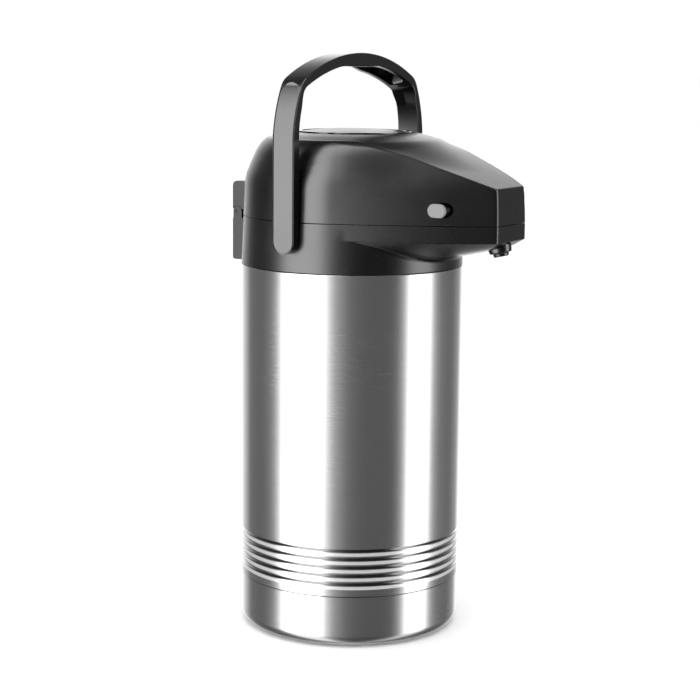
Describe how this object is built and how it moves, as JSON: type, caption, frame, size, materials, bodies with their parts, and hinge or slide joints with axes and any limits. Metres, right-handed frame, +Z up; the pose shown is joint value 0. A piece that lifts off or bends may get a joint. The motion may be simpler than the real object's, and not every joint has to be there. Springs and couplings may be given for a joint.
{
  "type": "pump airpot",
  "caption": "Vacuum-insulated pump dispenser for hot drinks, with a press button, a beaked spout, a hinged lid and a folding carrying handle.",
  "frame": {"origin": "on the floor under the body's axis, at the centre of the foot pad's lower face", "axes": "+Z up, the spout points along -Y, the lid hinge is on the +Y side, the handle turns about X"},
  "size_m": [0.188, 0.2339, 0.446],
  "materials": {
    "black_gloss": "smooth satin",
    "black_rubber": "matt",
    "black_shell": "fine satin mould texture",
    "brushed_steel": "brushed round the body",
    "button_plastic": "satin, slightly worn",
    "cap_grey": "silver-grey satin",
    "clear_glass": "silvered vacuum glass",
    "grey_rubber": "soft silicone",
    "steel_hardware": "plain",
    "white_plastic": "food-grade polypropylene"
  },
  "bodies": {
    "base": {"foot_pad": "black_rubber", "swivel_base": "black_shell"},
    "flask": {"swivel_stud": "steel_hardware", "bottom_cover": "black_shell", "cover_screws": "steel_hardware", "bottom_band": "brushed_steel", "liner_support": "white_plastic", "liner_cushion": "grey_rubber", "tip_guard": "grey_rubber", "glass_liner": "clear_glass", "steel_casing": "brushed_steel", "neck_seal": "grey_rubber", "collar": "black_shell", "collar_hinge_block": "black_shell", "hinge_pin": "steel_hardware", "pivot_studs": "steel_hardware", "pivot_screws": "steel_hardware", "dip_tube": "white_plastic", "tube_joint": "grey_rubber", "spout_tube": "white_plastic", "pour_nozzle": "black_gloss"},
    "lid": {"lid_shell": "black_shell", "lid_hinge_block": "black_shell", "lid_inner_plate": "white_plastic", "plate_screws": "steel_hardware", "lid_seal": "grey_rubber", "air_valve": "grey_rubber", "bellows": "white_plastic", "return_spring": "steel_hardware", "press_surround": "black_gloss", "lid_catch": "white_plastic"},
    "button": {"press_plate": "button_plastic"},
    "lock": {"lock_bolt": "black_gloss", "bolt_caps": "cap_grey"},
    "handle": {"handle_bail": "black_gloss", "arm_inlays": "black_gloss"}
  },
  "joints": [
    {"name": "swivel", "type": "hinge", "parent": "base", "child": "flask", "pos_m": [0, 0, 0.003], "axis": [0, 0, 1], "continuous": true},
    {"name": "lid_hinge", "type": "hinge", "parent": "flask", "child": "lid", "pos_m": [0, 0.091, 0.3215], "axis": [-1, 0, 0], "range_deg": [0, 22]},
    {"name": "pump_press", "type": "slide", "parent": "lid", "child": "button", "axis": [0, 0, -1], "range_m": [0, 0.025], "stiffness_N_per_m": 300, "springref_m": -0.02, "deforming": ["bellows", "return_spring"]},
    {"name": "lock_slide", "type": "slide", "parent": "lid", "child": "lock", "axis": [1, 0, 0], "range_m": [0, 0.0115]},
    {"name": "handle_swing", "type": "hinge", "parent": "flask", "child": "handle", "pos_m": [0, 0.0018, 0.308], "axis": [-1, 0, 0], "range_deg": [-60, 90]}
  ]
}
